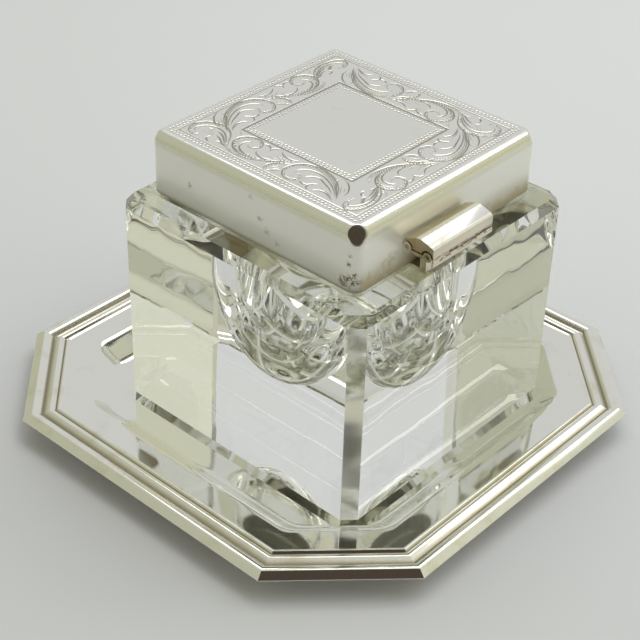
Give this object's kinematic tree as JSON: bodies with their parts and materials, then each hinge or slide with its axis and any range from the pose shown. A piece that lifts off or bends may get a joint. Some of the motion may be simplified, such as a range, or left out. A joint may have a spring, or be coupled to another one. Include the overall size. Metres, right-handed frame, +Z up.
{
  "type": "desk inkstand",
  "caption": "Octagonal reeded silver tray with a loose square cut-glass inkwell under a deep square engraved lid on a double hinge.",
  "frame": {"origin": "middle of the tray's underside, at the height of the table", "axes": "+Z up, +Y towards the side that carries the lid's hinge, +X along the hinge"},
  "size_m": [0.127, 0.127, 0.0737],
  "materials": {
    "tray_sheet_silver": "silver sheet, softly worn satin polish",
    "reeded_silver": "polished silver with darker grooves",
    "clear_glass": "clear polished glass",
    "plaster": "matt plaster",
    "collar_silver": "polished silver",
    "hinge_silver": "silver with yellow tarnish",
    "pin_wire": "dull wire",
    "lid_silver": "polished silver, engraved on top, light tarnish"
  },
  "bodies": {
    "tray": {"tray_pan": "tray_sheet_silver", "border_long_lengths": "reeded_silver", "border_short_lengths": "reeded_silver"},
    "inkwell": {"glass_block": "clear_glass", "plaster_bed": "plaster", "collar_plate": "collar_silver", "collar_neck": "collar_silver", "collar_bezel": "collar_silver", "hinge_leaf": "hinge_silver", "leaf_knuckles": "hinge_silver", "collar_pin": "pin_wire"},
    "link": {"hinge_link": "hinge_silver", "link_knuckles": "hinge_silver"},
    "lid": {"lid_shell": "lid_silver", "lid_bearer": "hinge_silver", "lid_knuckles": "hinge_silver", "lid_pin": "pin_wire"}
  },
  "joints": [
    {"name": "inkwell_lift", "type": "slide", "parent": "tray", "child": "inkwell", "axis": [0, 0, 1], "range_m": [0, 0.09]},
    {"name": "link_pivot", "type": "hinge", "parent": "inkwell", "child": "link", "pos_m": [0, 0.03955, 0.06407], "axis": [-1, 0, 0], "range_deg": [0, 95]},
    {"name": "lid_pivot", "type": "hinge", "parent": "link", "child": "lid", "pos_m": [0, 0.0341, 0.06436], "axis": [-1, 0, 0], "range_deg": [0, 10]}
  ]
}
